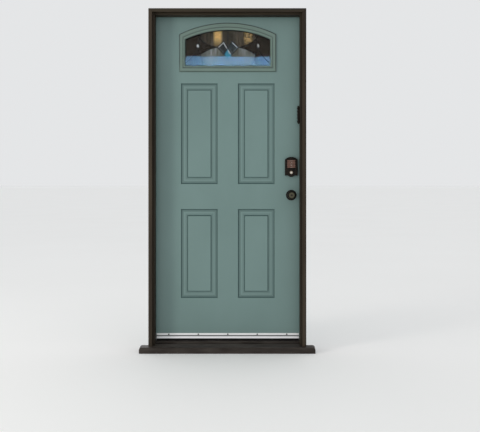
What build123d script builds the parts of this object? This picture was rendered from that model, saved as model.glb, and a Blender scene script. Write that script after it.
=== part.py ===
from build123d import *
import os
from math import radians, tan

# A panelled front door hung in its frame. X runs to the right seen from outside, Y into the house and
# Z up. The origin is on the floor under the middle of the door, level with the leaf's outside face.
# All sizes are in millimetres.

# Leaf
leaf_width = 908.0
leaf_height = 2007.0
leaf_thickness = 44.5
leaf_gap = 3.0
leaf_bottom_gap = 8.0
skin_thickness = 0.8
stile_width = 40.0
rail_height = 60.0
lock_block_end_length = 90.0
lock_block_wall = 28.0
core_clearance = 0.3

# Raised panels pressed in both skins
panel_width = 228.0
panel_spacing = 354.0
upper_panel_bottom = 963.5
upper_panel_height = 625.0
lower_panel_bottom = 255.5
lower_panel_height = 552.0
panel_depth = 6.4
panel_cove = 5.0
panel_valley = 2.0
panel_band = 31.0
panel_band_rise = 2.4
panel_foot = 2.0
panel_foot_sink = 1.2
panel_round = 4.0

# Fixed frame
jamb_thickness = 32.0
rabbet = 12.7
stop_length = 62.0
seal_length = 10.0
seal_width = 10.0
seal_clearance = 0.3
mould_width = 24.0
mould_thickness = 28.0
mould_step_width = 8.5
mould_step_depth = 10.0
sill_nose_height = 35.5
sill_projection = 48.0
sill_slope = 8.0
sill_nose_radius = 5.0
horn_length = 54.0
horn_radius = 16.0
threshold_front = 47.0
threshold_thickness = 10.0
threshold_bevel = 9.0

# Hinges
hinge_height = 101.6
hinge_plate_width = 32.0
hinge_plate_thickness = 2.3
hinge_axis_out = 6.5
knuckle_radius = 6.0
knuckle_count = 5
knuckle_gap = 0.4
hinge_pin_radius = 2.9
hinge_pin_clearance = 0.08
hinge_pin_head_radius = 4.6
hinge_pin_head_height = 3.5
top_hinge_inset = 178.0
bottom_hinge_inset = 279.0
mortise_clearance = 0.2

# Wood screws
screw_head_radius = 4.2
screw_head_height = 2.6
screw_shank_radius = 1.9
screw_length = 15.0
screw_clearance = 0.15
pan_height = 2.2
screw_slot = 0.8

# Light over the panels
daylight_width = 528.0
daylight_bottom = 1699.3
daylight_side_height = 162.7
daylight_height = 220.7
frame_side_width = 36.0
frame_bottom_width = 39.3
frame_crown_width = 43.7
frame_spring_rise = 31.0
light_frame_height = 10.0
light_rim_height = 4.0
light_rim_start = 0.965
light_slope_start = 0.89
light_line = 0.32
light_line_width = 0.12
light_line_depth = 2.6
light_bead = 0.16
light_bead_depth = 6.0
unit_share = 0.36
unit_clearance = 3.0
unit_thickness = 25.4
pane_thickness = 3.2
glazing_tape = 0.3
came_depth = 6.0
came_flange = 1.2
came_width = 4.8
came_heart = 1.4
glass_clearance = 0.2
bevel_width = 8.0
bevel_height = 1.8
jewel_half_width = 9.0
jewel_half_height = 14.0
jewel_bevel = 3.0
light_screw_count = 5

# Door sweep
sweep_inset = 12.6
sweep_height = 34.4
sweep_lift = 2.0
sweep_flange = 2.6
sweep_rib = 7.5
sweep_rib_height = 15.8
sweep_groove_height = 6.2
sweep_groove_depth = 1.2
sweep_screw_count = 5
sweep_end = 75.4
fin_thickness = 3.0
fin_grip = 6.0
fin_clearance = 0.3

# Locks
backset = 60.0
knob_height = 894.0
lock_spacing = 140.0
cross_bore_radius = 27.0
edge_bore_radius = 12.7
case_radius = 11.0
faceplate_width = 25.4
faceplate_height = 57.0
faceplate_thickness = 2.0
faceplate_screw_spacing = 41.0
rose_radius = 32.5
rose_height = 9.0
knob_radius = 26.0
knob_face_radius = 20.0
knob_reach = 60.0
knob_gap = 1.5
knob_shoulder = 2.5
knob_waist = 4.0
shank_radius = 12.0
shank_clearance = 0.3
shank_depth = 10.4
plug_radius = 6.5
plug_clearance = 0.15
plug_depth = 18.0
keyway_width = 2.0
keyway_height = 8.4
turn_bar_length = 12.2
turn_bar_width = 4.2
turn_bar_height = 6.0
spindle_width = 6.0
latch_radius = 8.0
latch_throw = 12.0
latch_bevel = 11.0
bolt_width = 12.0
bolt_height = 15.0
bolt_throw = 25.4
bolt_clearance = 0.3
hub_half_width = 12.0
hub_half_depth = 7.0
tail_width = 8.0
tail_thickness = 2.6
tail_clearance = 0.35

# Keypad housing
keypad_width = 78.0
keypad_below = 18.0
keypad_shoulder = 80.0
keypad_crown = 17.0
keypad_chin = 8.0
keypad_depth = 20.0
keypad_round = 3.5
keypad_field_width = 60.0
keypad_field_bottom = 29.0
keypad_field_depth = 2.0
keypad_field_margin = 9.0
button_count = 5
button_width = 50.0
button_height = 8.0
button_pitch = 9.8
button_stand = 3.4
button_root = 4.0
button_travel = 1.0
button_clearance = 0.3
collar_radius = 10.0
collar_stand = 2.0
collar_floor = 2.0

# Inside housing
inside_width = 76.0
inside_below = 44.0
inside_above = 134.0
inside_depth = 28.0
inside_round = 6.0
thumb_length = 38.0
thumb_width = 12.0
thumb_reach = 17.0
thumb_shaft_radius = 6.0
thumb_washer = 3.0

# Strike plates
strike_thickness = 1.6
strike_height = 57.0
strike_width = 30.0
strike_hole_margin = 2.5
strike_lip = 4.5
strike_lip_height = 16.8

# Case fixed on the lock-side post
case_length = 118.0
case_half_width = 9.0
case_stand = 8.0
case_height = 1453.0
case_tilt = 10.0
case_beads = 5
case_ear = 7.0
case_plate = 1.2
case_point = 9.0
case_bead_margin = 18.0
nail_head_radius = 1.9
nail_head_height = 1.0
nail_radius = 0.9
nail_length = 14.0
nail_clearance = 0.1

# Places worked out from the sizes above
seat_y = -threshold_front
frame_front = -(stop_length + seal_length)
frame_back = leaf_thickness
nose_y = frame_front - sill_projection
seat_z = sill_nose_height + tan(radians(sill_slope)) * (seat_y - nose_y)
threshold_top = seat_z + threshold_thickness
leaf_bottom = threshold_top + leaf_bottom_gap
leaf_top = leaf_bottom + leaf_height
leaf_edge = leaf_width / 2
rabbet_face = leaf_edge + leaf_gap
stop_face = rabbet_face - rabbet
jamb_back = stop_face + jamb_thickness
head_rabbet = leaf_top + leaf_gap
head_stop = head_rabbet - rabbet
head_top = head_stop + jamb_thickness
mould_inner = rabbet_face
mould_outer = mould_inner + mould_width
mid_y = leaf_thickness / 2
skin_return = panel_depth + 2 * skin_thickness
hinge_x = -(leaf_edge + leaf_gap / 2)
hinge_y = leaf_thickness + hinge_axis_out
bore_x = leaf_edge - backset
knob_z = leaf_bottom + knob_height
bolt_z = knob_z + lock_spacing
unit_front = mid_y - unit_thickness / 2
unit_back = mid_y + unit_thickness / 2
came_front = mid_y - came_depth / 2
came_back = mid_y + came_depth / 2
collar_depth = plug_depth - collar_stand + collar_floor
sweep_length = leaf_width - 2 * sweep_inset
sweep_screw_spacing = (sweep_length - 2 * sweep_end) / (sweep_screw_count - 1)
groove_width = panel_cove + panel_valley + panel_band + panel_foot + panel_round
jewel_place = (-0.356 * daylight_width, 0.564 * daylight_height)
hinge_heights = [
    leaf_top - top_hinge_inset - hinge_height / 2,
    (leaf_top - top_hinge_inset + leaf_bottom + bottom_hinge_inset) / 2,
    leaf_bottom + bottom_hinge_inset + hinge_height / 2,
]
panels = [
    (side * panel_spacing / 2, leaf_bottom + bottom + height / 2, height)
    for side in (-1, 1)
    for bottom, height in (
        (upper_panel_bottom, upper_panel_height),
        (lower_panel_bottom, lower_panel_height),
    )
]


def block(x0, x1, y0, y1, z0, z1):
    """A rectangular block between two corners."""
    return Pos((x0 + x1) / 2, (y0 + y1) / 2, (z0 + z1) / 2) * Box(x1 - x0, y1 - y0, z1 - z0)


def upright(y):
    """The plane at depth y whose drawing axes are X and Z and whose normal looks out of the house."""
    return Plane(origin=(0, y, 0), x_dir=(1, 0, 0), z_dir=(0, -1, 0))


def slab(shape, y0, y1):
    """A flat shape drawn in X and Z, filled from depth y0 to depth y1."""
    return extrude(upright(y1) * shape, amount=y1 - y0)


def bar_y(x, z, radius, y0, y1):
    """A round bar along Y."""
    return slab(Pos(x, z) * Circle(radius), y0, y1)


def bar_x(y, z, radius, x0, x1):
    """A round bar along X."""
    plane = Plane(origin=(x0, y, z), x_dir=(0, 1, 0), z_dir=(1, 0, 0))
    return extrude(plane * Circle(radius), amount=x1 - x0)


def turned(x, z, *points):
    """A body turned about the line along Y through x and z, from (radius, y) points and arcs."""
    edges = []
    last = points[0]
    for point in points[1:]:
        if len(point) == 2:
            edges.append(Line(last, point))
            last = point
        else:
            edges.append(ThreePointArc(last, point[0:2], point[2:4]))
            last = point[2:4]
    edges.append(Line(last, points[0]))
    face = Plane(origin=(x, 0, z), x_dir=(1, 0, 0), z_dir=(0, 0, 1)) * make_face(Curve() + edges)
    return revolve(face, axis=Axis((x, 0, z), (0, 1, 0)))


def flip_inside(part):
    """The same piece turned over to the other face of the leaf."""
    return mirror(part, about=Plane(origin=(0, mid_y, 0), z_dir=(0, 1, 0)))


def group(parts):
    """Separate solids of one kind, kept together in one node."""
    return Compound(children=[solid for part in parts for solid in part.solids()])


# Fixed frame: sill, threshold, jambs, moulds and seals


def make_sill():
    """Wood sill, sloped in front of the threshold's seat, with a horn past the mould at each end."""
    section = make_face(Polyline(
        (nose_y, 0), (nose_y, sill_nose_height), (seat_y, seat_z), (frame_back, seat_z), (frame_back, 0),
        close=True
    ))
    horn_end = mould_outer + horn_length
    plane = Plane(origin=(-horn_end, 0, 0), x_dir=(0, 1, 0), z_dir=(1, 0, 0))
    body = extrude(plane * section, amount=2 * horn_end)
    for side in (-1, 1):
        x0, x1 = sorted((side * jamb_back, side * (horn_end + 1)))
        body -= block(x0, x1, frame_front, frame_back + 1, -1, seat_z + 1)
    top = body.faces().filter_by(lambda f: 0.9 < f.normal_at().Z < 0.999)[0]
    ends = top.edges().filter_by(lambda e: abs(abs(e.center().X) - horn_end) < 0.01)
    body = fillet(ends, radius=min(horn_radius, 0.9 * sill_nose_height))
    top = body.faces().filter_by(lambda f: 0.9 < f.normal_at().Z < 0.999)[0]
    front = top.edges().filter_by(lambda e: abs(e.center().Y - nose_y) < 0.01)
    return chamfer(front, length=sill_nose_radius)


def make_threshold():
    """Wood saddle on the sill's seat, bevelled to the weather."""
    section = make_face(Polyline(
        (seat_y, seat_z), (seat_y, seat_z + threshold_thickness / 3),
        (seat_y + threshold_bevel, threshold_top), (frame_back, threshold_top), (frame_back, seat_z), close=True
    ))
    plane = Plane(origin=(-stop_face, 0, 0), x_dir=(0, 1, 0), z_dir=(1, 0, 0))
    body = extrude(plane * section, amount=2 * stop_face)
    for side in (-1, 1):
        x0, x1 = sorted((side * stop_face, side * rabbet_face))
        body += block(x0, x1, -seal_length, frame_back, seat_z, threshold_top)
    return body


def make_side_jamb(side, sill):
    """Jamb with its stop in one piece, scribed over the sill."""
    x0, x1 = sorted((side * stop_face, side * jamb_back))
    stop = block(x0, x1, frame_front, -seal_length, 0, head_top)
    x0, x1 = sorted((side * rabbet_face, side * jamb_back))
    return stop + block(x0, x1, -seal_length, frame_back, 0, head_top) - sill


def make_head_jamb():
    """Head jamb with its stop, held between the side jambs."""
    body = block(-stop_face, stop_face, frame_front, -seal_length, head_stop, head_top)
    return body + block(-rabbet_face, rabbet_face, -seal_length, frame_back, head_rabbet, head_top)


def mould_section():
    """Stucco mould across its width: a flat face and a lower, coved outer edge."""
    step_x = mould_width - mould_step_width
    step_y = mould_thickness - mould_step_depth
    cove = ThreePointArc(
        (step_x, mould_thickness - 2), (step_x + 1, step_y + 1.5), (step_x + 4, step_y)
    )
    edges = Polyline(
        (step_x + 4, step_y), (mould_width - 1, step_y), (mould_width, step_y - 1), (mould_width, 0), (0, 0),
        (0, mould_thickness - 1.5), (1.5, mould_thickness), (step_x - 2, mould_thickness),
        (step_x, mould_thickness - 2)
    )
    return make_face(cove + edges)


def make_side_mould(side, sill):
    """Mould leg nailed to the jamb's edge, mitred at the head and scribed to the sill."""
    plane = Plane(origin=(-mould_inner, frame_front, 0), x_dir=(-1, 0, 0), z_dir=(0, 0, 1))
    leg = extrude(plane * mould_section(), amount=head_rabbet + mould_width)
    mitre = Plane(origin=(-mould_inner, 0, head_rabbet), x_dir=(0, 1, 0), z_dir=(1, 0, 1))
    leg = split(leg, bisect_by=mitre, keep=Keep.BOTTOM) - sill
    return leg if side < 0 else mirror(leg, about=Plane.YZ)


def make_head_mould():
    """Mould over the head, mitred at both ends."""
    plane = Plane(origin=(-mould_outer, frame_front, head_rabbet), x_dir=(0, 0, 1), z_dir=(1, 0, 0))
    rail = extrude(plane * mould_section(), amount=2 * mould_outer)
    for side in (-1, 1):
        mitre = Plane(origin=(side * mould_inner, 0, head_rabbet), x_dir=(0, 1, 0), z_dir=(-side, 0, 1))
        rail = split(rail, bisect_by=mitre, keep=Keep.TOP)
    return rail


def make_weatherstrips():
    """Foam seals between the stops and the leaf: two legs and a head strip."""
    inset = (rabbet - seal_width) / 2
    low = stop_face + inset
    front = -seal_length
    back = -seal_clearance
    nose = (back - front) / 3
    leg_top = head_stop + inset - seal_clearance
    section = make_face(Polyline(
        (low, front), (low + seal_width, front), (low + seal_width, back - nose),
        (low + seal_width - nose, back), (low + nose, back), (low, back - nose), close=True
    ))
    leg_low = threshold_top + seal_clearance
    leg = extrude(Pos(0, 0, leg_low) * section, amount=leg_top - leg_low)
    shift = head_stop - stop_face
    plane = Plane(origin=(-rabbet_face, 0, shift), x_dir=(0, 0, 1), z_dir=(1, 0, 0))
    flat = mirror(section, about=Plane.XZ)
    head = extrude(plane * flat, amount=2 * rabbet_face)
    return group([leg, mirror(leg, about=Plane.YZ), head])


# Screws and hinges


def countersunk(plane, head, shank, depth, length):
    """Countersunk head on a round shank, along a plane's normal."""
    low = (Align.CENTER, Align.CENTER, Align.MIN)
    return plane * Cone(head, shank, depth, align=low) + plane * Cylinder(shank, length, align=low)


def screw_x(x, y, z, way):
    """Countersunk wood screw along X, its head flush at x and its point in the direction way."""
    plane = Plane(origin=(x, y, z), x_dir=(0, 1, 0), z_dir=(way, 0, 0))
    return countersunk(plane, screw_head_radius, screw_shank_radius, screw_head_height, screw_length)


def screw_hole_x(x, y, z, way):
    """Countersunk hole that such a screw lies in."""
    plane = Plane(origin=(x, y, z), x_dir=(0, 1, 0), z_dir=(way, 0, 0)).offset(-screw_clearance)
    return countersunk(
        plane, screw_head_radius + screw_clearance, screw_shank_radius + screw_clearance,
        screw_head_height + screw_clearance, screw_length + 2 * screw_clearance
    )


def hinge_screw_places(z):
    """Where a hinge plate's three screws go, as (y, z) pairs."""
    near = leaf_thickness - 0.3 * hinge_plate_width
    far = leaf_thickness - 0.72 * hinge_plate_width
    step = 0.36 * hinge_height
    return [(near, z + step), (far, z), (near, z - step)]


def make_hinge_plate(z, side, knuckles):
    """One plate of a butt hinge with its rolled knuckles. side is 1 for the leaf's and -1 for the frame's."""
    face = hinge_x + side * leaf_gap / 2
    x0, x1 = sorted((face, face + side * hinge_plate_thickness))
    z0 = z - hinge_height / 2
    plate = block(x0, x1, leaf_thickness - hinge_plate_width, leaf_thickness, z0, z0 + hinge_height)
    height = (hinge_height - (knuckle_count - 1) * knuckle_gap) / knuckle_count
    for number in knuckles:
        low = z0 + number * (height + knuckle_gap)
        plate += Pos(hinge_x, hinge_y, low + height / 2) * Cylinder(knuckle_radius, height)
        plate += block(x0, x1, leaf_thickness - 1, hinge_y, low, low + height)
    plate -= Pos(hinge_x, hinge_y, z) * Cylinder(hinge_pin_radius + hinge_pin_clearance, hinge_height + 2)
    for y, height_z in hinge_screw_places(z):
        plate -= screw_hole_x(face, y, height_z, side)
    return plate


def make_hinge_pin(z):
    """Loose pin with a button at each end."""
    reach = hinge_height / 2 + knuckle_gap
    pin = Pos(hinge_x, hinge_y, z) * Cylinder(hinge_pin_radius, 2 * reach)
    for end in (-1, 1):
        middle = z + end * (reach + hinge_pin_head_height / 2)
        button = Pos(hinge_x, hinge_y, middle) * Cylinder(hinge_pin_head_radius, hinge_pin_head_height)
        rim = button.edges().filter_by(GeomType.CIRCLE).sort_by(Axis.Z)
        pin += chamfer(rim[-1] if end > 0 else rim[0], length=0.3 * hinge_pin_head_height)
    return pin


def hinge_mortise(z, side):
    """Pocket that a hinge plate is let into."""
    face = hinge_x + side * leaf_gap / 2
    x0, x1 = sorted((face - side, face + side * hinge_plate_thickness))
    half = hinge_height / 2 + mortise_clearance
    back = leaf_thickness - hinge_plate_width - mortise_clearance
    return block(x0, x1, back, leaf_thickness + 1, z - half, z + half)


def hinge_cuts(side):
    """All mortises and screw holes on one side of the gap."""
    cuts = []
    face = hinge_x + side * leaf_gap / 2
    for z in hinge_heights:
        cuts.append(hinge_mortise(z, side))
        for y, height_z in hinge_screw_places(z):
            cuts.append(screw_hole_x(face, y, height_z, side))
    return cuts


# Locks: the bores that they need in the leaf and in the jamb


def faceplate_screw_heights(z):
    """The two screws of a faceplate or strike plate."""
    return [z - faceplate_screw_spacing / 2, z + faceplate_screw_spacing / 2]


def lock_cuts():
    """Cross bores, edge bores, faceplate recesses and screw holes in the leaf."""
    cuts = []
    half_width = faceplate_width / 2 + mortise_clearance
    half_height = faceplate_height / 2 + mortise_clearance
    for z in (knob_z, bolt_z):
        cuts.append(bar_y(bore_x, z, cross_bore_radius, -1, leaf_thickness + 1))
        cuts.append(bar_x(mid_y, z, edge_bore_radius, bore_x, leaf_edge + 1))
        cuts.append(block(
            leaf_edge - faceplate_thickness, leaf_edge + 1, mid_y - half_width, mid_y + half_width,
            z - half_height, z + half_height
        ))
        for height in faceplate_screw_heights(z):
            cuts.append(screw_hole_x(leaf_edge, mid_y, height, -1))
    return cuts


def cut_all(part, cuts):
    """Take a list of cutters away from a part."""
    for cutter in cuts:
        part -= cutter
    return part


# Leaf: skins, stiles, rails, lock block and core


def panel_groove(x, z, height):
    """What the press sinks around one raised field on the outside face."""
    band_depth = panel_depth - panel_band_rise
    band_start = panel_cove + panel_valley
    band_end = band_start + panel_band
    foot = (band_end + panel_foot, band_depth + panel_foot_sink)
    section = make_face(
        ThreePointArc((0, 0), (0.40 * panel_cove, 0.56 * panel_depth), (panel_cove, panel_depth))
        + Polyline((panel_cove, panel_depth), (band_start, panel_depth), (band_end, band_depth), foot)
        + ThreePointArc(foot, (foot[0] + 0.40 * panel_round, 0.44 * foot[1]), (groove_width, 0))
        + Polyline((groove_width, 0), (groove_width, -2), (0, -2), (0, 0))
    )
    ring = []
    for turn, reach, far in (
        (0, panel_width / 2, height / 2), (90, height / 2, panel_width / 2),
        (180, panel_width / 2, height / 2), (270, height / 2, panel_width / 2),
    ):
        start = Plane(origin=(reach, 0, -far), x_dir=(0, 0, 1), z_dir=(-1, 0, 0))
        mitred = make_face(Polyline(
            (-reach, -far), (reach, -far), (reach - groove_width, groove_width - far),
            (groove_width - reach, groove_width - far), close=True
        ))
        side = extrude(start * section, amount=2 * reach) & slab(mitred, -3, panel_depth + 1)
        ring.append(Pos(x, 0, z) * Rot(0, turn, 0) * side)
    return ring[0] + ring[1:]


def light_outline(share):
    """The light's outline at a share of its frame's width: 0 at the glass seen, 1 at the outer edge."""
    half = daylight_width / 2 + share * frame_side_width
    base = leaf_bottom + daylight_bottom
    low = base - share * frame_bottom_width
    spring = base + daylight_side_height + share * frame_spring_rise
    crown = base + daylight_height + share * frame_crown_width
    arch = ThreePointArc((-half, spring), (0, crown), (half, spring))
    return make_face(arch + Polyline((half, spring), (half, low), (-half, low), (-half, spring)))


cut_share = unit_share + unit_clearance / frame_side_width


def light_ring(outer, inner, y0, y1):
    """A flat ring between two shares of the light frame's width."""
    return slab(light_outline(outer), y0, y1) - slab(light_outline(inner), y0 - 1, y1 + 1)


def light_funnel(front, front_y, back, back_y):
    """A tapered plug from one share at front_y to another at back_y."""
    return loft([upright(front_y) * light_outline(front), upright(back_y) * light_outline(back)], ruled=True)


def make_skin(grooves, cuts):
    """Outside skin: a pressed tray whose edges turn back over the stiles and rails."""
    outer = block(-leaf_edge, leaf_edge, 0, skin_return, leaf_bottom, leaf_top)
    inner = block(
        skin_thickness - leaf_edge, leaf_edge - skin_thickness, skin_thickness, skin_return + 1,
        leaf_bottom + skin_thickness, leaf_top - skin_thickness
    )
    for groove in grooves:
        outer -= groove
        inner -= Pos(0, skin_thickness, 0) * groove
    return cut_all(outer - inner, cuts)


def make_edge_member(x0, x1, z0, z1, outer_x, outer_z):
    """Stile or rail between the skins, with a tongue that fills the leaf's edge between their returns."""
    body = block(x0, x1, skin_thickness, leaf_thickness - skin_thickness, z0, z1)
    if outer_x:
        a, b = sorted((outer_x, outer_x - skin_thickness * (1 if outer_x > 0 else -1)))
        body += block(a, b, skin_return, leaf_thickness - skin_return, z0, z1)
    if outer_z:
        low, high = outer_z
        body += block(x0, x1, skin_return, leaf_thickness - skin_return, low, high)
    return body


stile_x = leaf_edge - stile_width
inner_edge = leaf_edge - skin_thickness
lock_block_low = knob_z - lock_block_end_length
lock_block_high = bolt_z + lock_block_end_length
lock_block_x = bore_x - cross_bore_radius - lock_block_wall


def make_stile(side, cuts):
    """Wood stile, full height."""
    x0, x1 = sorted((side * stile_x, side * inner_edge))
    low = leaf_bottom + skin_thickness
    high = leaf_top - skin_thickness
    return cut_all(make_edge_member(x0, x1, low, high, side * leaf_edge, None), cuts)


def make_rail(low, high, outer):
    """Wood rail between the stiles."""
    return make_edge_member(-stile_x, stile_x, low, high, 0, outer)


def make_core(grooves, cuts):
    """Foam core that fills the leaf between the wood and the two pressed skins."""
    front = skin_thickness + core_clearance
    low = leaf_bottom + rail_height + core_clearance
    high = leaf_top - rail_height - core_clearance
    reach = stile_x - core_clearance
    core = block(-reach, reach, front, leaf_thickness - front, low, high)
    for groove in grooves:
        sunk = Pos(0, front, 0) * groove
        core -= sunk
        core -= flip_inside(sunk)
    core -= slab(light_outline(cut_share), 0, leaf_thickness)
    core -= block(
        lock_block_x - core_clearance, stile_x, 0, leaf_thickness, lock_block_low - core_clearance,
        lock_block_high + core_clearance
    )
    return core


# Light: frames, panes, spacers and the leaded panel


def make_light_frame():
    """Outside light frame: a ring sloped to a low rim, with a sunk line, a bead and a leg to the glass."""
    top = -light_frame_height
    above = top - 1
    frame = slab(light_outline(1.0), -light_rim_height, 0)
    frame += light_funnel(light_slope_start, top, light_rim_start, -light_rim_height)
    frame += slab(light_outline(unit_share), 0, unit_front - glazing_tape)
    frame -= light_ring(light_line + light_line_width, light_line, above, top + light_line_depth)
    frame -= light_funnel(light_bead, top, 0, top + light_bead_depth)
    frame -= slab(light_outline(light_bead), above, top)
    frame -= slab(light_outline(0.0), above, unit_front)
    return frame


def strips(width):
    """The lines of the leaded panel as flat strips of one width, with a round of solder at each joint."""
    points = {
        "inner": (0, 0.501), "outer": (-0.254, 0.530), "top": (-0.098, 0.709), "under": (-0.095, 0.331),
        "point": (0, 0.168), "head": (0, 1.25), "foot": (0, -0.25),
        "upper_petal": (-0.492, 0.625), "upper_tip": (-0.667, 0.766), "upper_bend": (-0.648, 0.870),
        "upper_end": (-0.561, 1.015), "upper_out": (-0.530, 1.25),
        "lower_petal": (-0.470, 0.453), "lower_tip": (-0.655, 0.317), "lower_bend": (-0.625, 0.172),
        "lower_end": (-0.500, -0.082), "lower_out": (-0.42, -0.25),
        "side_bend": (-0.848, 0.258), "side_end": (-1.076, 0.009), "side_out": (-1.25, -0.12),
    }
    at = {name: (across * daylight_width / 2, up * daylight_height) for name, (across, up) in points.items()}
    jewel_x, jewel_z = jewel_place
    jewel_low = (jewel_x, jewel_z - jewel_half_height)
    jewel_high = (jewel_x, jewel_z + jewel_half_height)
    lines = [
        Line(at["outer"], at["top"]), Line(at["top"], at["inner"]), Line(at["inner"], at["under"]),
        Line(at["under"], at["outer"]), Line(at["under"], at["point"]),
        ThreePointArc(at["outer"], at["upper_petal"], at["upper_tip"]),
        ThreePointArc(at["upper_tip"], at["upper_bend"], at["upper_end"]),
        Line(at["upper_end"], at["upper_out"]),
        ThreePointArc(at["outer"], at["lower_petal"], at["lower_tip"]),
        ThreePointArc(at["lower_tip"], at["lower_bend"], at["lower_end"]),
        Line(at["lower_end"], at["lower_out"]),
        Line(jewel_low, at["lower_tip"]), Line(jewel_high, at["upper_tip"]),
        ThreePointArc(jewel_low, at["side_bend"], at["side_end"]), Line(at["side_end"], at["side_out"]),
    ]
    half = Sketch()
    for line in lines:
        half += trace(line, line_width=width)
    for name in ("outer", "top", "under", "upper_tip", "lower_tip"):
        half += Pos(*at[name]) * Circle(width / 2)
    grow = width / 2
    half += Pos(jewel_x, jewel_z) * Ellipse(jewel_half_width + grow, jewel_half_height + grow)
    half -= Pos(jewel_x, jewel_z) * Ellipse(jewel_half_width - grow, jewel_half_height - grow)
    whole = half + mirror(half, about=Plane.YZ)
    whole += trace(Line(at["point"], at["foot"]), line_width=width)
    whole += trace(Line(at["inner"], at["head"]), line_width=width)
    for name in ("inner", "point"):
        whole += Pos(*at[name]) * Circle(width / 2)
    return Pos(0, leaf_bottom + daylight_bottom) * whole


edge_share = unit_share - 0.02
heart_share = unit_share - 0.06


def make_cames():
    """Lead came network in one soldered piece: flanges front and back on a thin heart."""
    border = light_outline(edge_share)
    flange = (strips(came_width) & border) + (border - light_outline(-0.03))
    heart = (strips(came_heart) & border) + (border - light_outline(heart_share))
    return (
        slab(flange, came_front, came_front + came_flange)
        + slab(heart, came_front, came_back)
        + slab(flange, came_back - came_flange, came_back)
    )


def make_leaded_glass():
    """Glass cut to the cells of the came network: bevelled pieces, petals and plain fields."""
    field = light_outline(heart_share - glass_clearance / frame_side_width) - strips(
        came_heart + 2 * glass_clearance
    )
    front = came_front + came_flange + glass_clearance
    back = came_back - came_flange - glass_clearance
    base = leaf_bottom + daylight_bottom
    cut_glass, petals, fields = [], [], []
    for cell in field.faces():
        x, z = abs(cell.center().X), cell.center().Y - base
        piece = slab(cell, front, back)
        small = cell.area / (daylight_width * daylight_height)
        if small < 0.026:
            covered = came_width / 2 + glass_clearance
            if small > 0.008:
                foot, crest = offset(cell, amount=-covered), offset(cell, amount=-bevel_width)
                piece += loft([upright(front) * foot, upright(front - bevel_height) * crest], ruled=True)
            elif abs(x + jewel_place[0]) < jewel_half_width:
                middle = Pos(cell.center().X, jewel_place[1] + base)
                foot, crest = [
                    middle * Ellipse(jewel_half_width - cut, jewel_half_height - cut)
                    for cut in (covered, covered + jewel_bevel)
                ]
                piece += loft([upright(front) * foot, upright(front - bevel_height) * crest], ruled=True)
            cut_glass.append(piece)
        elif x < 0.284 * daylight_width and abs(z - 0.476 * daylight_height) > 0.068 * daylight_height:
            petals.append(piece)
        else:
            fields.append(piece)
    print("leaded panel cells:", len(cut_glass), "cut,", len(petals), "petals,", len(fields), "fields")
    return group(cut_glass), group(petals), group(fields)


def light_screw_places():
    """Screws along the inside light frame, bottom row and near the crown."""
    z = leaf_bottom + daylight_bottom - 0.6 * frame_bottom_width
    step = daylight_width / (light_screw_count - 1)
    return [((number - (light_screw_count - 1) / 2) * step, z) for number in range(light_screw_count)]


def screw_y(x, z, y, way, head, shank, length, pan):
    """Small screw along Y with a slotted pan head that stands on the face at y."""
    y0, y1 = sorted((y, y - way * pan))
    body = bar_y(x, z, head, y0, y1)
    slot = block(
        x - head, x + head, y - way * pan - screw_slot / 2, y - way * pan + screw_slot / 2, z - screw_slot / 2,
        z + screw_slot / 2
    )
    a, b = sorted((y, y + way * length))
    return body - slot + bar_y(x, z, shank, a, b)


# Door sweep


def make_sweep_bar():
    """Extruded aluminium bar: a screwed flange, a sunk line and a rib that grips the fin."""
    low = leaf_bottom + sweep_lift
    rib_top = low + sweep_rib_height
    groove_top = rib_top + sweep_groove_height
    high = low + sweep_height
    slot = fin_thickness / 2
    fin_y = -sweep_rib / 2
    section = make_face(Polyline(
        (0, low), (fin_y + slot, low), (fin_y + slot, low + fin_grip), (fin_y - slot, low + fin_grip),
        (fin_y - slot, low),
        (1.5 - sweep_rib, low), (-sweep_rib, low + 2), (-sweep_rib, rib_top - 3), (1.5 - sweep_rib, rib_top),
        (-sweep_groove_depth, rib_top), (-sweep_groove_depth, groove_top), (-sweep_flange, groove_top + 1),
        (-sweep_flange, high - 1), (1 - sweep_flange, high), (0, high), close=True
    ))
    plane = Plane(origin=(-sweep_length / 2, 0, 0), x_dir=(0, 1, 0), z_dir=(1, 0, 0))
    bar = extrude(plane * section, amount=sweep_length)
    for x, z in sweep_screw_places():
        bar -= bar_y(x, z, screw_shank_radius + screw_clearance, -sweep_flange - 1, 1)
    return bar


def sweep_screw_places():
    """Screws along the sweep's flange."""
    flange_low = leaf_bottom + sweep_lift + sweep_rib_height + sweep_groove_height
    z = (flange_low + leaf_bottom + sweep_lift + sweep_height) / 2
    middle = (sweep_screw_count - 1) / 2
    return [((number - middle) * sweep_screw_spacing, z) for number in range(sweep_screw_count)]


def make_sweep_fin():
    """Rubber fin held in the sweep's slot, its lip just over the threshold."""
    low = threshold_top + fin_clearance
    top = leaf_bottom + sweep_lift + fin_grip
    fin_y = -sweep_rib / 2
    half = fin_thickness / 2
    section = make_face(Polyline(
        (fin_y - half, low + 2), (fin_y - half, top), (fin_y + half, top), (fin_y + half, low), (fin_y, low),
        close=True
    ))
    plane = Plane(origin=(-sweep_length / 2, 0, 0), x_dir=(0, 1, 0), z_dir=(1, 0, 0))
    return extrude(plane * section, amount=sweep_length)


# Knob set


def make_rose():
    """Outside rose, turned from sheet brass to a low dome."""
    bore = shank_radius + shank_clearance
    return turned(
        bore_x, knob_z, (bore, 0), (rose_radius, 0), (rose_radius, -2.5),
        (0.9 * rose_radius, -0.62 * rose_height, 0.72 * rose_radius, -0.82 * rose_height),
        (0.6 * rose_radius, -rose_height), (bore, -rose_height)
    )


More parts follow.
